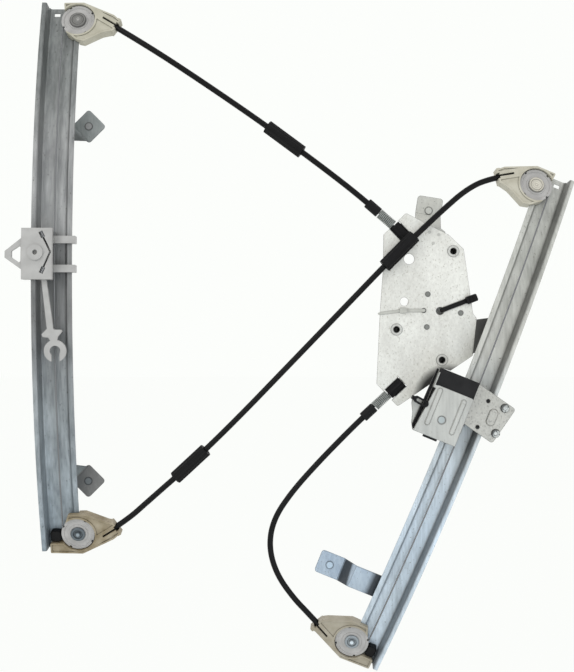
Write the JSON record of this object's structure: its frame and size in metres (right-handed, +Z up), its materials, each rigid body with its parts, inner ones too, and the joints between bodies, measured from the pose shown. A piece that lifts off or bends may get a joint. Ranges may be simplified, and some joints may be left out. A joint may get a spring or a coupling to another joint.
{
  "type": "window regulator",
  "caption": "Twin-rail cable window regulator: two arched rails with pulleys, sheathed cables, motor plate with drum, and two sliding glass carriages.",
  "frame": {"origin": "centre of the drum's drive socket at its mouth, in the plane where the motor and the fixing tabs seat on the door's inner panel", "axes": "+X to the right and +Z up seen from outside the door, +Y into the car along the drum's axis"},
  "size_m": [0.5592, 0.0827, 0.6737],
  "materials": {
    "grey_steel": "galvanised sheet, mid grey, faint rolling marks",
    "plated_steel": "zinc-plated sheet, light grey, soft sheen",
    "bracket_steel": "zinc-plated sheet and studs, satin",
    "rivet_steel": "turned and plated, satin",
    "cream_plastic": "natural acetal moulding, matt",
    "white_plastic": "white acetal moulding, slight gloss",
    "black_rubber": "matt black rubber",
    "black_plastic": "black moulding and cable jacket, satin",
    "clear_plastic": "milky nylon tie",
    "spring_wire": "bright spring wire",
    "steel_rope": "stranded galvanised rope, greased",
    "carriage_plastic": "white acetal moulding, satin"
  },
  "bodies": {
    "frame": {"left_rail": "grey_steel", "right_rail": "plated_steel", "left_upper_housing": "cream_plastic", "left_lower_housing": "cream_plastic", "right_upper_housing": "cream_plastic", "right_lower_housing": "cream_plastic", "left_upper_rivet": "rivet_steel", "left_lower_rivet": "rivet_steel", "right_upper_rivet": "rivet_steel", "right_lower_rivet": "rivet_steel", "left_bumper": "black_rubber", "right_bumper": "black_rubber", "left_rail_cable": "steel_rope", "right_rail_cable": "steel_rope", "motor_plate": "plated_steel", "drum_bearing": "plated_steel", "bearing_rivets": "plated_steel", "drum_housing": "white_plastic", "motor_bushes": "plated_steel", "upper_cap": "black_rubber", "lower_cap": "black_rubber", "upper_spring": "spring_wire", "lower_spring": "spring_wire", "upper_ferrule": "black_plastic", "lower_ferrule": "black_plastic", "upper_bare_cable": "steel_rope", "lower_bare_cable": "steel_rope", "upper_conduit": "black_plastic", "cross_conduit": "black_plastic", "lower_conduit": "black_plastic", "upper_sleeve": "black_rubber", "cross_sleeve": "black_rubber", "plate_sleeve": "black_rubber", "left_upper_tab": "bracket_steel", "left_lower_tab": "bracket_steel", "right_lower_bracket": "bracket_steel", "plate_top_tab": "bracket_steel", "mounting_studs": "bracket_steel", "black_tie": "black_plastic", "clear_tie": "clear_plastic"},
    "right_carriage": {"carrier_plate": "plated_steel", "carriage_rivets": "rivet_steel", "glass_channel_liner": "black_plastic", "front_jaw": "plated_steel", "slide_shoe": "black_plastic", "right_cable_ends": "steel_rope", "jaw_clip": "black_plastic"},
    "left_carriage": {"left_carriage": "carriage_plastic", "left_cable_ends": "steel_rope", "carriage_tail_clip": "carriage_plastic"},
    "drum": {"cable_drum": "white_plastic", "drum_winding": "steel_rope"},
    "left_upper_pulley": {"left_upper_pulley": "white_plastic"},
    "left_lower_pulley": {"left_lower_pulley": "white_plastic"},
    "right_upper_pulley": {"right_upper_pulley": "white_plastic"},
    "right_lower_pulley": {"right_lower_pulley": "white_plastic"}
  },
  "joints": [
    {"name": "right_carriage_travel", "type": "hinge", "parent": "frame", "child": "right_carriage", "pos_m": [0.005, 0.912, -0.1027], "axis": [-0.9272, 0, 0.3746], "range_deg": [-13.1, 11.1]},
    {"name": "left_carriage_travel", "type": "hinge", "parent": "frame", "child": "left_carriage", "pos_m": [-0.364, 0.912, 0.0345], "axis": [-1, 0, 0], "range_deg": [-13.2, 11.2]},
    {"name": "drum_turn", "type": "hinge", "parent": "frame", "child": "drum", "pos_m": [0, -0.009, 0], "axis": [0, 1, 0], "range_deg": [-483, 410]},
    {"name": "left_upper_pulley_turn", "type": "hinge", "parent": "frame", "child": "left_upper_pulley", "pos_m": [-0.364, -0.00679, 0.29316], "axis": [0, 0.9626, -0.271], "range_deg": [-809, 686]},
    {"name": "left_lower_pulley_turn", "type": "hinge", "parent": "frame", "child": "left_lower_pulley", "pos_m": [-0.364, -0.00679, -0.22416], "axis": [0, 0.9626, 0.271], "range_deg": [-809, 686]},
    {"name": "right_upper_pulley_turn", "type": "hinge", "parent": "frame", "child": "right_upper_pulley", "pos_m": [0.09754, -0.00998, 0.12635], "axis": [-0.097, 0.9659, -0.24], "range_deg": [-686, 809]},
    {"name": "right_lower_pulley_turn", "type": "hinge", "parent": "frame", "child": "right_lower_pulley", "pos_m": [-0.08754, -0.00998, -0.33175], "axis": [0.097, 0.9659, 0.24], "range_deg": [-686, 809]}
  ],
  "couplings": [
    {"joint": "left_carriage_travel", "follows": "right_carriage_travel", "ratio": 1},
    {"joint": "drum_turn", "follows": "right_carriage_travel", "ratio": 36.712},
    {"joint": "left_upper_pulley_turn", "follows": "right_carriage_travel", "ratio": 61.581},
    {"joint": "left_lower_pulley_turn", "follows": "right_carriage_travel", "ratio": 61.581},
    {"joint": "right_upper_pulley_turn", "follows": "right_carriage_travel", "ratio": -61.581},
    {"joint": "right_lower_pulley_turn", "follows": "right_carriage_travel", "ratio": -61.581}
  ]
}
